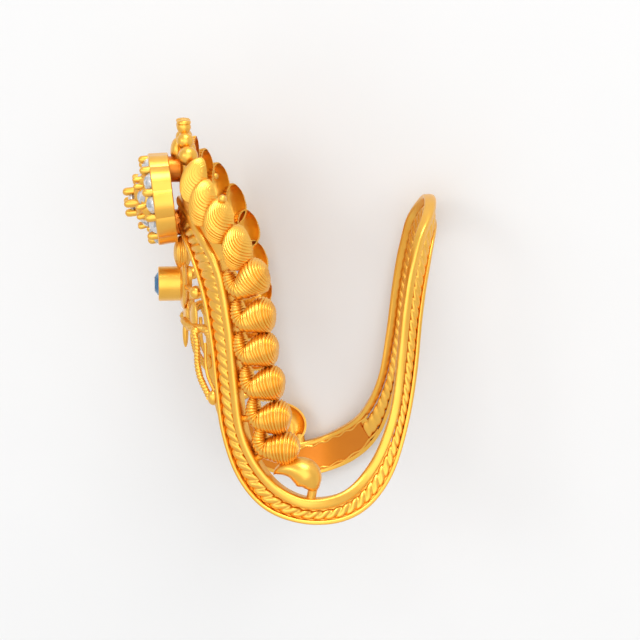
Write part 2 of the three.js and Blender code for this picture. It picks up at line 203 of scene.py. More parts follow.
def lengths_along(points):
    return np.concatenate([[0], np.cumsum(np.linalg.norm(np.diff(points, axis=0), axis=1))])


def rounded(corners, radius, steps=5):
    """A closed outline with its corners rounded; radius is one number or one for each corner."""
    corners = np.asarray(corners, float)
    radii = np.broadcast_to(radius, len(corners))
    outline = []
    for i, corner in enumerate(corners):
        before = corners[i - 1] - corner
        after = corners[(i + 1) % len(corners)] - corner
        start = corner + before / np.linalg.norm(before) * radii[i]
        end = corner + after / np.linalg.norm(after) * radii[i]
        for t in np.linspace(0, 1, steps):
            outline.append((1 - t) ** 2 * start + 2 * t * (1 - t) * corner + t**2 * end)
    return np.array(outline)


# ---------------------------------------------------------------- skins
def skin(rings, closed=False):
    """A closed skin over rings of points (rings, points, 3), capped unless the rings close."""
    rows, columns = rings.shape[:2]
    index = np.arange(rows * columns).reshape(rows, columns)
    here = index if closed else index[:-1]
    there = np.roll(index, -1, 0) if closed else index[1:]
    quads = np.stack([here, np.roll(here, -1, 1), np.roll(there, -1, 1), there], -1)
    faces = quads.reshape(-1, 4).tolist()
    if not closed:
        faces += [index[0][::-1].tolist(), index[-1].tolist()]
    return rings.reshape(-1, 3), faces


def tube(path, radius, sides=10):
    """A round rod along a path; radius is one number or one for each point."""
    path = np.asarray(path, float)
    ahead = np.gradient(path, axis=0)
    ahead /= np.linalg.norm(ahead, axis=1, keepdims=True)
    side = np.cross(ahead, (0.3, 0.2, 1))
    side /= np.linalg.norm(side, axis=1, keepdims=True)
    over = np.cross(side, ahead)
    angle = np.arange(sides) * 2 * math.pi / sides
    radii = np.broadcast_to(radius, len(path))[:, None, None]
    ring = np.cos(angle)[None, :, None] * side[:, None] + np.sin(angle)[None, :, None] * over[:, None]
    return skin(path[:, None] + radii * ring)


def turned(profile, sides, flute=None):
    """A lathe-turned body round +Z from rows of radius and height that start and end on the axis."""
    profile = np.asarray(profile, float)
    angle = np.arange(sides) * 2 * math.pi / sides
    shape = np.ones((1, sides)) if flute is None else flute(angle)[None]
    radius = np.maximum(profile[:, :1], 1e-4) * shape
    height = np.broadcast_to(profile[:, 1:], radius.shape)
    return skin(np.stack([radius * np.cos(angle), radius * np.sin(angle), height], -1))


def moved(body, matrix, shift=(0, 0, 0)):
    points, faces = body
    return np.asarray(points) @ np.asarray(matrix).T + np.asarray(shift), faces


def make(name, bodies, finish, node="gold_ring_body", crease=50):
    """One piece from closed bodies given in the ring's own millimetres."""
    points, faces, first = [], [], 0
    for body_points, body_faces in bodies:
        points.append(to_world(body_points))
        faces += [[i + first for i in face] for face in body_faces]
        first += len(body_points)
    mesh = bpy.data.meshes.new(name)
    mesh.from_pydata(np.concatenate(points).tolist(), [], faces)
    build = bmesh.new()
    build.from_mesh(mesh)
    bmesh.ops.recalc_face_normals(build, faces=build.faces)
    build.to_mesh(mesh)
    build.free()
    mesh.polygons.foreach_set("use_smooth", [True] * len(mesh.polygons))
    mesh.set_sharp_from_angle(angle=math.radians(crease))
    mesh.materials.append(finish)
    piece = bpy.data.objects.new(name, mesh)
    bpy.context.scene.collection.objects.link(piece)
    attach(piece, "root")
    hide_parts(node)
    return piece


# ---------------------------------------------------------------- finishes
def linear(hex_code):
    """A linear colour from sRGB hex."""
    parts = [int(hex_code[i:i + 2], 16) / 255 for i in (1, 3, 5)]
    return [p / 12.92 if p <= 0.04045 else ((p + 0.055) / 1.055) ** 2.4 for p in parts] + [1]


def add_node(material, kind, inputs=None, **settings):
    """Adds a node with its settings; inputs holds values or (node, socket) links."""
    tree = material.node_tree
    node = tree.nodes.new(kind)
    for key, value in settings.items():
        setattr(node, key, value)
    for key, value in (inputs or {}).items():
        if isinstance(value, tuple) and isinstance(value[0], bpy.types.Node):
            tree.links.new(value[0].outputs[value[1]], node.inputs[key])
        else:
            node.inputs[key].default_value = value
    return node


def new_material(name):
    material = bpy.data.materials.new(name)
    material.use_nodes = True
    material.node_tree.nodes.clear()
    return material


def gold_finish(name, dull, bright, smooth, rough):
    """Gold of 22 parts in 24, worked by hand.

    The work leaves faint hollows and uneven gloss, so the eye sees a warm colour that drifts a
    little and soft highlights that are never quite even. The polished copy is paler and smoother;
    the rough copy has duller highlights and a deeper orange, and that deeper orange is painted
    shade, for the plates inside the dips and the posts behind the flower.
    """
    material = new_material(name)
    place = add_node(material, "ShaderNodeTexCoord")
    waves = add_node(material, "ShaderNodeTexNoise", {
        "Vector": (place, "Object"), "Scale": 1 / (1.4 * MM), "Detail": 3.0})
    wear = add_node(material, "ShaderNodeTexNoise", {
        "Vector": (place, "Object"), "Scale": 1 / (0.5 * MM), "Detail": 4.0})
    tone = add_node(material, "ShaderNodeValToRGB", {"Fac": (waves, "Fac")})
    tone.color_ramp.elements[0].color = linear(dull)
    tone.color_ramp.elements[1].color = linear(bright)
    gloss = add_node(material, "ShaderNodeMapRange", {
        "Value": (wear, "Fac"), "To Min": smooth, "To Max": rough})
    bump = add_node(material, "ShaderNodeBump", {
        "Height": (waves, "Fac"), "Strength": 0.12, "Distance": 0.08 * MM})
    shader = add_node(material, "ShaderNodeBsdfPrincipled", {
        "Base Color": (tone, "Color"), "Roughness": (gloss, "Result"), "Metallic": 1.0,
        "Coat Weight": 0.4, "Coat Roughness": 0.25, "Normal": (bump, "Normal")})
    add_node(material, "ShaderNodeOutputMaterial", {"Surface": (shader, "BSDF")})
    return material


def cut_stone(name, deep, pale, index):
    """A polished stone cut into flat facets, its colour broken into cells of painted glint (pale)
    and painted shade (deep): the eye sees each facet catch the light or lose it.
    """
    material = new_material(name)
    place = add_node(material, "ShaderNodeTexCoord")
    facets = add_node(material, "ShaderNodeTexVoronoi", {
        "Vector": (place, "Object"), "Scale": 1 / (0.3 * MM), "Randomness": 0.7})
    parts = add_node(material, "ShaderNodeSeparateColor", {"Color": (facets, "Color")})
    # Each cell's tint runs from deep, a painted shade, to pale, a painted glint.
    painted_glint_and_shade = add_node(material, "ShaderNodeValToRGB", {"Fac": (parts, "Red")})
    painted_glint_and_shade.color_ramp.elements[0].color = linear(deep)
    painted_glint_and_shade.color_ramp.elements[1].color = linear(pale)
    shader = add_node(material, "ShaderNodeBsdfPrincipled", {
        "Base Color": (painted_glint_and_shade, "Color"), "Roughness": 0.03, "IOR": index,
        "Transmission Weight": 0.4})
    add_node(material, "ShaderNodeOutputMaterial", {"Surface": (shader, "BSDF")})
    return material


def pale_floor():
    """Board with a matt white coat: the eye sees no gloss and only the faintest mottle."""
    material = new_material("matt_white_board")
    place = add_node(material, "ShaderNodeTexCoord")
    mottle = add_node(material, "ShaderNodeTexNoise", {
        "Vector": (place, "Object"), "Scale": 1 / (8 * MM), "Detail": 2.0})
    tone = add_node(material, "ShaderNodeValToRGB", {"Fac": (mottle, "Fac")})
    tone.color_ramp.elements[0].color = linear("#dfdfdf")
    tone.color_ramp.elements[1].color = linear("#e1e1e1")
    shader = add_node(material, "ShaderNodeBsdfPrincipled", {
        "Base Color": (tone, "Color"), "Roughness": 0.9, "Specular IOR Level": 0.1})
    add_node(material, "ShaderNodeOutputMaterial", {"Surface": (shader, "BSDF")})
    return material


# ---------------------------------------------------------------- the hoop
def hoop_edges():
    """Low and high edge of the band all round: two arrays of turn and height."""
    rows = []
    for side in (SIDES["right"], SIDES["left"]):
        table = HOOP_ROWS.astype(float).copy()
        for column, sag, rear in zip((0, 2), side["sag"], side["rear"]):
            turn = table[:, column].copy()
            bent = np.where(turn > 90, np.sin(np.radians(2 * turn)) ** 2, 0)
            table[:, column + 1] -= sag * np.sin(np.radians(turn)) ** 2
            table[:, column] = turn + rear * bent
        rows.append(table)
    left = rows[1][1:-1][::-1].copy()
    left[:, (0, 2)] = 360 - left[:, (0, 2)]
    whole_turn = np.array([360, 0, 360, 0])
    table = smooth_through(np.concatenate([rows[0], left]), STEPS_PER_ROW, True, whole_turn)
    return table[:, :2], table[:, 2:]


LOW_EDGE, HIGH_EDGE = hoop_edges()


def softened(values, reach=SOFTENING):
    """Numbers all round the band, smoothed over their neighbours."""
    weights = np.ones(2 * reach + 1) / (2 * reach + 1)
    return np.convolve(np.concatenate([values[-reach:], values, values[:reach]]), weights, "valid")


def band_axes():
    """At each step of the band: its width, its lean, and its directions across and out."""
    low = on_hoop(LOW_EDGE[:, 0], LOW_EDGE[:, 1], OUTER_RADIUS)
    high = on_hoop(HIGH_EDGE[:, 0], HIGH_EDGE[:, 1], OUTER_RADIUS)
    middle = (low + high) / 2
    ahead = np.roll(middle, -3, 0) - np.roll(middle, 3, 0)
    ahead /= np.linalg.norm(ahead, axis=1, keepdims=True)
    out = middle * (1, 1, 0)
    out -= ahead * np.sum(out * ahead, 1, keepdims=True)
    out /= np.linalg.norm(out, axis=1, keepdims=True)
    across = np.cross(ahead, out)
    across *= np.sign(np.sum(across * (high - low), 1, keepdims=True))
    width = softened(np.sum(across * (high - low), 1))
    turn = np.minimum(LOW_EDGE[:, 0], 360 - LOW_EDGE[:, 0])
    late = np.clip((turn - RIGHT_LEAN["start"]) / RIGHT_LEAN["ramp"], 0, 1)
    late = np.where(LOW_EDGE[:, 0] < 180, late, 1)
    lean = softened(softened(np.interp(turn, REAR_TURNS, REAR_LEAN) * late))
    wide = softened(np.interp(turn, REAR_TURNS, REAR_WIDER))
    return width, width * wide, np.radians(lean), across, out


CAD_WIDTH, BAND_WIDTH, BAND_LEAN, BAND_ACROSS, BAND_OUT = band_axes()
BAND_TURN = (LOW_EDGE[:, 0] + HIGH_EDGE[:, 0]) / 2
BAND_DEPTH = softened(np.interp(np.minimum(BAND_TURN, 360 - BAND_TURN), REAR_TURNS, REAR_DEPTH))
RAIL_WIDTH = softened(np.interp(np.minimum(BAND_TURN, 360 - BAND_TURN), RAIL_TURNS, RAIL_WIDTHS))


def band_points(from_low, proud):
    """Points on the band at distances from its low edge and from the finger's surface."""
    from_low = np.broadcast_to(np.asarray(from_low), len(LOW_EDGE))
    place = LOW_EDGE + (HIGH_EDGE - LOW_EDGE) * (from_low / CAD_WIDTH)[:, None]
    deep = (proud - WALL) * BAND_DEPTH
    points = on_hoop(place[:, 0], place[:, 1], OUTER_RADIUS + deep)
    closer = np.cos(BAND_LEAN) - 1
    over = np.sin(BAND_LEAN)
    return points + (
        (from_low * closer + deep * over)[:, None] * BAND_ACROSS
        + (deep * closer - from_low * over)[:, None] * BAND_OUT)


def band_wire(outline, from_high=False, scale=1):
    """A wire of one section all round the band, measured from its low or high edge."""
    rings = [
        band_points(BAND_WIDTH - u * scale if from_high else u + 0 * BAND_WIDTH, proud)
        for u, proud in outline
    ]
    return skin(np.stack(rings, 1), closed=True)


def hoop_rail(gold):
    corners = [(0, 0), (0, WALL), (1, WALL), (0.95, 0.6), (0.4, 0)]
    outline = rounded(corners, (0.2, 0.46, 0.34, 0.1, 0.1), 9)
    return make("hoop_rail", [band_wire(outline, from_high=True, scale=RAIL_WIDTH)], gold)


def hoop_rim(gold):
    outline = rounded([(0, 0), (0, WALL), (RIM_WIDTH, WALL), (RIM_WIDTH, 0)], (0.06, 0.12, 0.14, 0.06))
    return make("hoop_rim", [band_wire(outline)], gold)


def evenly(rows, step):
    """A closed line of rows, each starting with x, y and z, with points about a step apart."""
    rows = np.concatenate([rows, rows[:1]])
    along = lengths_along(rows[:, :3])
    even = np.linspace(0, along[-1], int(along[-1] / step), endpoint=False)
    return np.stack([np.interp(even, along, column) for column in rows.T], 1), even, along[-1]


def hoop_rope(gold):
    """Three wires twisted into one flat cord that fills the band between the rail and the rim."""
    low_side, high_side = RIM_WIDTH + ROPE["edge"], BAND_WIDTH - RAIL_WIDTH - ROPE["edge"]
    middle = band_points((low_side + high_side) / 2, ROPE["proud"])
    half = (high_side - low_side)[:, None] / 2
    probe = 0.1
    front = band_points((low_side + high_side) / 2, ROPE["proud"] + probe) - middle
    rows, even, length = evenly(np.concatenate([middle, front, half], 1), ROPE["step"])
    line, out, half = rows[:, :3], rows[:, 3:6], rows[:, 6:]
    thick = ROPE["thick"] * np.linalg.norm(out, axis=1, keepdims=True) / probe
    ahead = np.roll(line, -2, 0) - np.roll(line, 2, 0)
    ahead /= np.linalg.norm(ahead, axis=1, keepdims=True)
    out -= ahead * np.sum(out * ahead, 1, keepdims=True)
    out /= np.linalg.norm(out, axis=1, keepdims=True)
    across = np.cross(out, ahead)
    angle = (np.arange(ROPE["sides"]) * 2 * math.pi / ROPE["sides"])[None]
    turns = round(length / ROPE["pitch"])
    phase = ROPE["strands"] * (angle / 2 + ROPE["hand"] * math.pi * turns * even[:, None] / length)
    lump = 1 - ROPE["groove"] * (1 - np.abs(np.sin(phase)) ** ROPE["sharp"])
    square = ROPE["square"]
    flat = (np.abs(np.cos(angle)) ** square + np.abs(np.sin(angle)) ** square) ** (-1 / square)
    swing = (half * np.cos(angle) * flat * (1 + 2 * lump) / 3)[..., None] * across[:, None]
    rise = (thick * np.sin(angle) * flat * lump)[..., None] * out[:, None]
    points = line[:, None] + swing + rise
    return make("hoop_rope", [skin(points, closed=True)], gold)


def band_strip(first, last, back, front, inset):
    """A flat strip inside the band between two turns on each side, inset from both edges."""
    strips = []
    for place in (BAND_TURN, 360 - BAND_TURN):
        keep = np.nonzero((place > first) & (place < last))[0]
        rings = [
            band_points(u, proud)[keep]
            for u, proud in (
                (inset + 0 * BAND_WIDTH, back), (inset + 0 * BAND_WIDTH, front),
                (BAND_WIDTH - inset, front), (BAND_WIDTH - inset, back),
            )
        ]
        strips.append(skin(np.stack(rings, 1)))
    return strips


def hoop_web(gold):
    """Solder that fills the band behind the rope, except at the rear, where the rope shows through."""
    strips = band_strip(-1, WEB["until"], WEB["back"], WEB["front"], WEB["inset"])
    return make("hoop_web", strips, gold)


def sizing_plates(rough_gold_painted_shade):
    """A smooth plate inside each dip, where the ring was sized; its deeper orange gold is painted
    shade.
    """
    strips = band_strip(*PLATE["turns"], PLATE["back"], PLATE["front"], PLATE["inset"])
    return make("sizing_plates", strips, rough_gold_painted_shade)


def solder_seams(gold):
    """Thin wavy runs of solder inside the band along both edges of each plate's end."""
    seams = []
    for place in (BAND_TURN, 360 - BAND_TURN):
        keep = np.nonzero((place > SEAM["first"]) & (place < SEAM["last"]))[0]
        ripple = SEAM["ripple"] * np.sin(np.radians(place) * SEAM["waves"])
        for from_low in (SEAM["inset"] + ripple, BAND_WIDTH - SEAM["inset"] + ripple):
            path = band_points(from_low, SEAM["proud"])[keep]
            seams.append(tube(path, SEAM["radius"], 7))
    return make("solder_seams", seams, gold)


# ---------------------------------------------------------------- the crest
def relief(spine, place, side, lean, size, pitch=0, slant=0, bow=0):
    """A hollow raised shell on the hoop's cylinder, swept along a spine, with ribs across it."""
    rows = smooth_through(spine, SHELL_STEPS)
    middle, half, height = rows[:, :2], rows[:, 2:3], rows[:, 3:4]
    ahead = np.gradient(middle, axis=0)
    ahead /= np.linalg.norm(ahead, axis=1, keepdims=True)
    aside = np.stack([-ahead[:, 1], ahead[:, 0]], 1)
    along = lengths_along(rows)[:, None]
    wave = np.abs(np.sin(math.pi * along / pitch)) - RIB_LEVEL if pitch else 0 * along
    outer = np.radians(np.linspace(-90, 90, SHELL_POINTS["outer"]))[None]
    inner = np.radians(np.linspace(90, -90, SHELL_POINTS["inner"]))[None]
    outer_half = half * (1 + RIB_DEPTH * wave)
    outer_height = height * (1 + RIB_DEPTH * wave)
    inner_half = np.maximum(half - SHELL_METAL, half * HOLLOW_LEAST["half"])
    inner_height = np.maximum(height - SHELL_METAL, height * HOLLOW_LEAST["height"])
    swing = np.concatenate([outer_half * np.sin(outer), inner_half * np.sin(inner)], 1)
    rise = np.concatenate([outer_height * np.cos(outer), inner_height * np.cos(inner)], 1)
    share = np.concatenate([np.sin(outer), np.sin(inner)], 1)
    push = slant * swing + bow * half * (share**2 - 0.5)
    flat = middle[:, None] + swing[..., None] * aside[:, None] + push[..., None] * ahead[:, None]
    flat = flat * size
    angle = math.radians(lean)
    across = flat[..., 0] * math.cos(angle) - flat[..., 1] * math.sin(angle)
    upward = flat[..., 0] * math.sin(angle) + flat[..., 1] * math.cos(angle)
    turn, z = place
    return skin(on_hoop(
        turn + np.degrees(across / (SHELL_BASE + SHELL_MIDDLE)), z + upward, SHELL_BASE + rise,
        side["sign"]))


def crest(gold):
    for name, side in SIDES.items():
        for number, (turn, z, lean, long, short, form) in enumerate(SHELL_ROWS[name], 1):
            body = relief(
                SHELL_SPINES[form], (turn, z), side, lean, (long, short),
                RIB_PITCH, SHELL_SLANT[form], SHELL_BOW[form])
            make(f"{name}_shell_{number}", [body], gold)
        drop = DROPS[name]
        body = relief(DROP_SPINE, (drop["turn"], drop["z"]), side, drop["lean"], drop["size"])
        make(f"{name}_drop", [body], gold)


def nearest_on(line, point):
    """The point of a line that is nearest to a place."""
    return line[np.argmin(np.linalg.norm(line - point, axis=1))]


def crest_sheets(gold):
    """A thin sheet on each side that joins the fan shells to the rail."""
    rail = band_points(BAND_WIDTH - RAIL_WIDTH / 2, RAIL_SINK["sheet"])
    for name, side in SIDES.items():
        fans = [row[:2] for row in SHELL_ROWS[name] if row[5] == "fan"]
        rings = []
        for turn, z in smooth_through(fans, SHEET["steps"]):
            shell = on_hoop(turn, z, SHEET["radius"], side["sign"])
            foot = nearest_on(rail, shell)
            way = foot - shell
            edge = shell + way * min(SHEET["share"], SHEET["clear"] / np.linalg.norm(way))
            out = on_hoop(turn, 0, SHEET["thick"], side["sign"])
            rings.append([edge, foot, foot + out, edge + out])
        make(f"{name}_crest_sheet", [skin(np.array(rings))], gold)


def crest_rods(gold):
    """Short rods that tie each scroll and drop to the rail."""
    rail = band_points(BAND_WIDTH - RAIL_WIDTH / 2, RAIL_SINK["rod"])
    for name, side in SIDES.items():
        drop = DROPS[name]
        places = [(*row[:2], *ROD["scroll"]) for row in SHELL_ROWS[name] if row[5] == "scroll"]
        foot = (drop["turn"] + DROP_FOOT["turn"], drop["z"] + DROP_FOOT["z"])
        places.append((*foot, *ROD["drop"]))
        rods = []
        for turn, z, start, thin, thick in places:
            shell = on_hoop(turn, z, SHELL_BASE + ROD_HEIGHT, side["sign"])
            way = nearest_on(rail, shell) - shell
            radii = np.linspace(thick, thin, 4)
            rods.append(tube(np.linspace(shell + way * start, shell + way, 4), radii, ROD_SIDES))
        make(f"{name}_crest_rods", rods, gold)


# ---------------------------------------------------------------- beads, leaves and wires of the front
# Turn, height, radius, and half sizes outward, round the finger and up.
FRONT = {
    "finial_plate": (0, 11.8, 9.05, (0.3, 1.35, 3.0)),
    "finial_leaf": (0, 12.7, 9.45, (0.5, 0.8, 0.95)),
    "melon_bead": (0, 5.2, 9.15, (0.66, 1.2, 1.3)),
    "bezel_plate": (0, 2.9, 9.1, (0.35, 2.1, 1.9)),
    "bud_leaf": (0, 0.6, 8.85, (0.3, 1.5, 1.3)),
    "bud_spike": (0, -0.8, 9.0, (0.22, 0.3, 1.1)),
}
PAIRED_BEADS = {
    "second_bead": (8.5, 13.55, 9.0, 0.62),
    "third_bead": (14, 12.55, 9.0, 0.72),
    "small_bead": (26.5, 2.95, 9.3, 0.5),
    "bud_bead": (26, 0.1, 9.3, 0.42),
    "bud_petal": (20, 0.9, 9.0, (0.2, 0.6, 1.2)),
    "crest_bead": (44, 10.0, 9.0, 0.3),
}
TOP_BEAD = (4.5, 14.5, 9.0, 0.53)
# The top bead's side, radius and height from its foot up: a ball, a waist and a collar.
TOP_BEAD_PROFILE = [
    (0, -1), (0.75, -0.75), (1, -0.1), (0.92, 0.3), (0.86, 0.38), (0.98, 0.46), (0.98, 0.72),
    (0.8, 0.9), (0, 1.02),
]
MELON = {"lobes": 22, "depth": 0.06, "rows": 16, "sides": 88}
BEAD_WIRE = {"turns": (10, 34), "z": 2.95, "out": 9.15, "radius": 0.2, "steps": 12}
SWAG_ROWS = np.array([
    (27, 0.1), (29.5, -0.6), (29.8, -1.4), (30, -2.2), (32, -3.1), (36, -3.9), (38.6, -4.4),
])
COIL_ROWS = np.array([(5, 0.3), (20, 0.2), (31, 0.4), (34, 0.3), (37.5, -0.4)])
# The swags' wires: distance from the finger's axis, radius, and shift round the finger.
SWAG = {"outer": (9.5, 0.13, -0.6), "inner": (9.1, 0.15, 2.4), "coil": (9.1, 0.17), "pitch": 0.5,
        "steps": 8}
SWAG_BEAD = (39.4, -4.4, 9.35, (0.42, 0.4, 0.55))
WIRE_STEP = 0.06
# Each twisted wire is a little thicker than its distance from the twist's middle, so they touch.
WIRE_TOUCH = 1.1


def ball(rows=14, sides=28, flute=None):
    """A ball of radius 1, or a fluted one."""
    angle = np.linspace(0, math.pi, rows)
    return turned(np.stack([np.sin(angle), -np.cos(angle)], 1), sides, flute)


def place_on_hoop(turn, z, radius, sizes, sign=1):
    """The matrix and the middle of a body whose own axes point outward, round the finger and up."""
    out = on_hoop(turn, 0, 1, sign)
    around = on_hoop(turn + 90, 0, 1, sign)
    axes = np.stack([out, around, (0, 0, 1)], 1)
    return axes * np.array(sizes), on_hoop(turn, z, radius, sign)


def melon():
    """A ball with lobes round it, like a melon."""
    def lobes(angle):
        return 1 - MELON["depth"] + MELON["depth"] * np.abs(np.cos(MELON["lobes"] / 2 * angle))

    return ball(MELON["rows"], MELON["sides"], lobes)


def front_pieces(gold):
    for name, row in FRONT.items():
        body = melon() if name == "melon_bead" else ball(16)
        make(name, [moved(body, *place_on_hoop(*row))], gold)
    for side, facts in SIDES.items():
        sign = facts["sign"]
        for name, (turn, z, radius, size) in PAIRED_BEADS.items():
            place = place_on_hoop(turn, z, radius, np.broadcast_to(size, 3), sign)
            make(f"{side}_{name}", [moved(ball(), *place)], gold)
        turns = np.linspace(*BEAD_WIRE["turns"], BEAD_WIRE["steps"])
        path = on_hoop(turns, BEAD_WIRE["z"], BEAD_WIRE["out"], sign)
        make(f"{side}_bead_wire", [tube(path, BEAD_WIRE["radius"])], gold)
        turn, z, radius, size = TOP_BEAD
        place = place_on_hoop(turn, z, radius, (size, size, size), sign)
        make(f"{side}_top_bead", [moved(turned(TOP_BEAD_PROFILE, 28), *place)], gold)


def twisted_wire(path, radius, pitch, strands=2):
    """Thin wires twisted round a path."""
    along = lengths_along(path)
    even = np.linspace(0, along[-1], max(8, int(along[-1] / WIRE_STEP)))
    path = np.stack([np.interp(even, along, path[:, k]) for k in range(3)], 1)
    ahead = np.gradient(path, axis=0)
    ahead /= np.linalg.norm(ahead, axis=1, keepdims=True)
    side = np.cross(ahead, path * (1, 1, 0))
    side /= np.linalg.norm(side, axis=1, keepdims=True)
    over = np.cross(side, ahead)
    wires = []
    for k in range(strands):
        twist = 2 * math.pi * (even / pitch + k / strands)
        middle = path + radius * (np.cos(twist)[:, None] * side + np.sin(twist)[:, None] * over)
        wires.append(tube(middle, radius * WIRE_TOUCH, 7))
    return wires


def swags(gold):
    """The chains that fall from the bud to the bead on each side."""
    line = smooth_through(SWAG_ROWS, SWAG["steps"])
    fall = line[SWAG["steps"]:]
    coil = smooth_through(COIL_ROWS, SWAG["steps"])
    for name, side in SIDES.items():
        sign = side["sign"]
        out, outer_radius, shift = SWAG["outer"]
        outer = on_hoop(line[:, 0] + shift, line[:, 1], out, sign)
        out, inner_radius, shift = SWAG["inner"]
        inner = on_hoop(fall[:, 0] + shift, fall[:, 1], out, sign)
        out, coil_radius = SWAG["coil"]
        wires = twisted_wire(on_hoop(coil[:, 0], coil[:, 1], out, sign), coil_radius, SWAG["pitch"])
        wires += twisted_wire(outer, outer_radius, SWAG["pitch"])
        wires.append(tube(inner, inner_radius, 9))
        make(f"{name}_swag", wires, gold)
        make(f"{name}_swag_bead", [moved(ball(), *place_on_hoop(*SWAG_BEAD, sign))], gold)


# ---------------------------------------------------------------- the flower
FLOWER = {"x": -9.8, "z": 9.3, "tilt": 6, "petals": 10, "radius": 3.4, "depth": 1.45,
          "scallop": 0.045}
INNER_FLUTES = {"count": 10, "depth": 0.05}
POSTS = {"back": -8.8, "front": -10.3, "heights": (7.45, 11.35), "radius": 0.95}
# Rings of round-ended claws: how many, the first one's turn, ring radius, foot, top, radius, lean.
CLAWS = {
    "outer_claws": (10, (0,), 2.92, 1.2, 2.2, 0.3, 4),
    "inner_claws": (5, (24, 48), 1.75, 2.0, 2.8, 0.23, 10),
    "centre_claws": (4, (0,), 0.78, 2.4, 3.6, 0.3, 0),
}
OUTER_STONES = {"name": "outer_stone", "count": 10, "start": 18, "ring": 2.78, "height": 1.6,
                "tilt": 32, "radius": 0.62}
INNER_STONES = {"name": "inner_stone", "count": 5, "start": 0, "ring": 1.6, "height": 2.25,
                "tilt": 28, "radius": 0.55}
CENTRE_STONE = {"height": 3.0, "radius": 0.62}
BEZEL = {"z": 2.9, "back": -8.7, "front": -10.95, "radius": 1.27, "bore": 1.02}
BLUE_STONE = {"radius": 0.94, "x": -10.86}


def flower_axes(tilt):
    """Axes that point up, to the right side and out to the front, leaned back by a tilt."""
    lean = math.radians(tilt)
    outward = np.array([-math.cos(lean), 0, -math.sin(lean)])
    sideways = np.array([0, 1, 0])
    return np.stack([np.cross(sideways, outward), sideways, outward], 1)


def petal_place(turn, ring, height, tilt):
    """The matrix and the middle of a body on the flower, at a turn round its axis."""
    spin, lean = math.radians(turn), math.radians(tilt)
    round_axis = np.array([
        (math.cos(spin), -math.sin(spin), 0), (math.sin(spin), math.cos(spin), 0), (0, 0, 1)])
    outward = np.array([
        (math.cos(lean), 0, math.sin(lean)), (0, 1, 0), (-math.sin(lean), 0, math.cos(lean))])
    axes = flower_axes(FLOWER["tilt"])
    middle = np.array([FLOWER["x"], 0, FLOWER["z"]]) + axes @ round_axis @ (ring, 0, height)
    return axes @ round_axis @ outward, middle


def flower_cup():
    """The open cup with ten scallops."""
    r, d = FLOWER["radius"], FLOWER["depth"]
    profile = [
        (0, 0.85), (r * 0.84, 0.85), (r * 0.9, 0.7), (r * 0.93, 0.08), (r * 0.955, 0.0),
        (r * 0.975, 0.06), (r * 0.985, d * 0.5), (r, d * 0.95), (r * 0.98, d), (r * 0.93, d * 1.02),
        (r * 0.9, d * 0.9), (r * 0.66, d * 0.92), (0, d),
    ]
    def scallop(angle):
        petals = np.abs(np.sin(angle * FLOWER["petals"] / 2))
        return 1 - FLOWER["scallop"] + FLOWER["scallop"] * petals

    return turned(profile, 240, scallop)


def inner_cup():
    """The smaller fluted cup under the inner stones."""
    profile = [
        (0, 1.3), (2.05, 1.3), (2.1, 1.4), (2.0, 2.1), (1.9, 2.3), (1.7, 2.36), (1.2, 2.5),
        (1.0, 2.75), (0.85, 2.8), (0, 2.8),
    ]
    def flutes(angle):
        ridges = np.abs(np.cos(angle * INNER_FLUTES["count"] / 2))
        return 1 - INNER_FLUTES["depth"] + INNER_FLUTES["depth"] * ridges

    return turned(profile, 160, flutes)


def claw(turn, ring, bottom, top, radius, lean):
    """A round-ended rod standing on the flower."""
    height = np.array([
        bottom, bottom + 0.02, top - radius, top - radius * 0.5, top - radius * 0.13, top])
    width = np.array([0, 1, 1, 0.87, 0.5, 0]) * radius
    body = turned(np.stack([width, height - bottom], 1), 14)
    return moved(body, *petal_place(turn, ring, bottom, lean))


def flower_head(gold, rough_gold_painted_shade):
    still = petal_place(0, 0, 0, 0)
    make("flower_cup", [moved(flower_cup(), *still)], gold, crease=20)
    make("flower_inner_cup", [moved(inner_cup(), *still)], gold, crease=35)
    posts = []
    for z in POSTS["heights"]:
        ends = np.array([(POSTS["back"], 0, z), (POSTS["front"], 0, z)])
        posts.append(tube(ends, POSTS["radius"], 20))
    # The posts behind the flower take the deeper orange gold, whose colour is painted shade.
    make("flower_posts", posts, rough_gold_painted_shade)
    for name, (count, starts, *sizes) in CLAWS.items():
        rods = [claw(360 / count * k + start, *sizes) for k in range(count) for start in starts]
        make(name, rods, gold)


def bezel(gold):
    """The tall tube under the flower, spun and bored for its stone."""
    length = BEZEL["back"] - BEZEL["front"]
    r, bore = BEZEL["radius"], BEZEL["bore"]
    profile = [
        (0, -0.2), (r * 0.98, -0.2), (r * 1.03, 0.05), (r, 0.14), (r, length - 0.1),
        (r * 0.985, length - 0.03), (r * 0.94, length), (bore, length - 0.02),
        (bore - 0.02, length - 0.12), (0.8, length - 0.7), (0, length - 0.9),
    ]
    place = flower_axes(0), (BEZEL["back"], 0, BEZEL["z"])
    make("bezel_tube", [moved(turned(profile, 72), *place)], gold, crease=30)


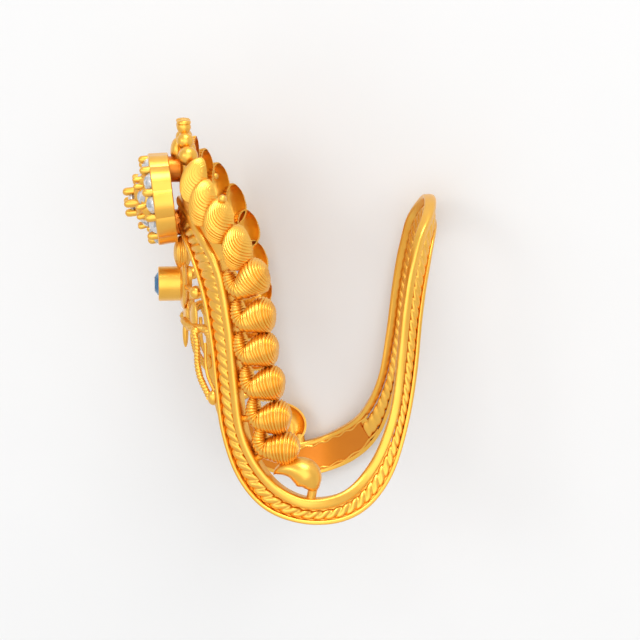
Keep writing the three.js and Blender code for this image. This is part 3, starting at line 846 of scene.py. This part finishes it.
# ---------------------------------------------------------------- stones
def brilliant(radius, crown=0.34, table=0.56, girdle=0.05, pavilion=0.84):
    """A round brilliant of 57 facets, its girdle at height 0 and its table up."""
    def ring(count, start, r, z):
        angle = np.radians(start + np.arange(count) * 360 / count)
        return np.stack([r * np.cos(angle), r * np.sin(angle), z + 0 * angle], 1)

    levels = [
        ring(8, 22.5, table, girdle + crown), ring(8, 0, 0.8, girdle + crown * 0.5),
        ring(16, 0, 1, girdle), ring(16, 0, 1, -girdle),
        ring(8, 0, 0.24, -girdle - pavilion * 0.78), np.array([(0, 0, -girdle - pavilion)]),
    ]
    first = np.cumsum([0] + [len(level) for level in levels])
    faces = [list(range(8))]
    for k in range(8):
        tab, tab_back = k, (k - 1) % 8
        kite, kite_next = first[1] + k, first[1] + (k + 1) % 8
        g = [first[2] + (2 * k + j) % 16 for j in (-1, 0, 1)]
        low = [first[3] + (2 * k + j) % 16 for j in (-1, 0, 1)]
        point, point_next = first[4] + k, first[4] + (k + 1) % 8
        faces += [
            [tab, tab_back, kite], [tab, kite, g[2], kite_next], [kite, g[0], g[1]], [kite, g[1], g[2]],
            [g[0], low[0], low[1], g[1]], [g[1], low[1], low[2], g[2]],
            [point, low[1], low[0]], [point, low[2], low[1]],
            [first[5], point_next, low[2], point],
        ]
    return np.concatenate(levels) * radius, [[int(i) for i in face] for face in faces]


def stones(clear, blue):
    for ring in (OUTER_STONES, INNER_STONES):
        for i in range(ring["count"]):
            turn = ring["start"] + i * 360 / ring["count"]
            place = petal_place(turn, ring["ring"], ring["height"], ring["tilt"])
            body = moved(brilliant(ring["radius"]), *place)
            node = f"{ring['name']}_{i + 1}"
            make(f"{node}_cut", [body], clear, node, crease=1)
    body = moved(brilliant(CENTRE_STONE["radius"]), *petal_place(0, 0, CENTRE_STONE["height"], 0))
    make("centre_stone_cut", [body], clear, "centre_stone", crease=1)
    body = moved(brilliant(BLUE_STONE["radius"]), flower_axes(0), (BLUE_STONE["x"], 0, BEZEL["z"]))
    make("blue_stone_cut", [body], blue, "blue_stone", crease=1)


# ---------------------------------------------------------------- camera, floor and light
CAMERA = {"turn": 5, "lift": 11, "distance": 170.4, "aside": 0.963, "focal": 129.4, "sensor": 36}


def camera():
    turn, lift = math.radians(CAMERA["turn"]), math.radians(CAMERA["lift"])
    right = np.array([math.cos(turn), -math.sin(turn), 0])
    ahead = np.array([
        math.sin(turn) * math.cos(lift), math.cos(turn) * math.cos(lift), -math.sin(lift)])
    up = np.cross(right, ahead)
    data = bpy.data.cameras.new("camera")
    data.lens = CAMERA["focal"]
    data.sensor_width = CAMERA["sensor"]
    data.clip_start = 0.01
    data.clip_end = 20
    eye = bpy.data.objects.new("camera", data)
    bpy.context.scene.collection.objects.link(eye)
    axes = RESTING @ np.stack([right, up, -ahead], 1)
    middle = to_world(right * CAMERA["aside"] - ahead * CAMERA["distance"])
    matrix = np.eye(4)
    matrix[:3, :3] = axes
    matrix[:3, 3] = middle
    eye.matrix_world = Matrix(matrix.tolist())
    bpy.context.scene.camera = eye


FLOOR_RADII = (0.02, 0.2, 2.5)


def floor():
    """A round board under the ring; its radii are in metres."""
    mesh = bpy.data.meshes.new("floor")
    angle = np.arange(96) * 2 * math.pi / 96
    rings = [np.stack([r * np.cos(angle), r * np.sin(angle), 0 * angle], 1) for r in FLOOR_RADII]
    points, faces = skin(np.stack(rings))
    mesh.from_pydata(points.tolist(), [], faces[:-1])
    mesh.materials.append(pale_floor())
    board = bpy.data.objects.new("floor", mesh)
    bpy.context.scene.collection.objects.link(board)


# Soft boxes: the way to each from the ring in the ring's own axes, distance, size (mm) and power (W).
LIGHTS = {
    "top_box": ((0.1, -0.4, 1.0), 420, 200, 0.9),
    "front_box": ((-0.9, -0.7, 0.3), 560, 180, 0.3),
    "over_box": ((-0.09, -0.98, 0.19), 600, 640, 1.45),
}


def lights():
    for name, (way, distance, size, power) in LIGHTS.items():
        data = bpy.data.lights.new(name, "AREA")
        data.shape = "SQUARE"
        data.size = size * MM
        data.energy = power
        lamp = bpy.data.objects.new(name, data)
        bpy.context.scene.collection.objects.link(lamp)
        way = RESTING @ (np.array(way) / np.linalg.norm(way))
        side = np.cross((0, 0, 1), way)
        side /= np.linalg.norm(side)
        matrix = np.eye(4)
        matrix[:3, :3] = np.stack([side, np.cross(way, side), way], 1)
        matrix[:3, 3] = RING_MIDDLE + way * distance * MM
        lamp.matrix_world = Matrix(matrix.tolist())


ROOM = {"low": 0.8, "high": 0.9}


def surroundings():
    """A white room, brighter overhead."""
    world = bpy.data.worlds.new("white_room")
    world.use_nodes = True
    world.node_tree.nodes.clear()
    place = add_node(world, "ShaderNodeTexCoord")
    parts = add_node(world, "ShaderNodeSeparateXYZ", {"Vector": (place, "Generated")})
    tone = add_node(world, "ShaderNodeValToRGB", {"Fac": (parts, "Z")})
    tone.color_ramp.elements[0].color = (*[ROOM["low"]] * 3, 1)
    tone.color_ramp.elements[1].color = (*[ROOM["high"]] * 3, 1)
    shader = add_node(world, "ShaderNodeBackground", {"Color": (tone, "Color"), "Strength": 1.0})
    add_node(world, "ShaderNodeOutputWorld", {"Surface": (shader, "Background")})
    bpy.context.scene.world = world


def main():
    camera()
    floor()
    lights()
    surroundings()
    gold = gold_finish("hand_polished_22_carat_gold", "#edaf3c", "#f5bd52", 0.29, 0.39)
    # A rougher copy of the gold whose deeper orange is painted shade, for the plates in the dips and
    # the posts behind the flower.
    rough_gold_painted_shade = gold_finish("rough_22_carat_gold_painted_shade", "#d67a12", "#df8419", 0.32, 0.44)
    # Pale tints are painted glints and deep tints painted shade; the blue stone's blue is its own
    # colour.
    clear = cut_stone("cut_clear_stone", "#a3afbd", "#ffffff", 2.17)
    blue = cut_stone("cut_blue_stone", "#1f5f92", "#5aa0cc", 1.62)
    hoop_rail(gold)
    hoop_rim(gold)
    hoop_rope(gold)
    hoop_web(gold)
    sizing_plates(rough_gold_painted_shade)
    solder_seams(gold)
    crest(gold)
    crest_sheets(gold)
    crest_rods(gold)
    front_pieces(gold)
    swags(gold)
    flower_head(gold, rough_gold_painted_shade)
    bezel(gold)
    stones(clear, blue)
    bpy.context.scene.view_settings.view_transform = "Standard"


main()
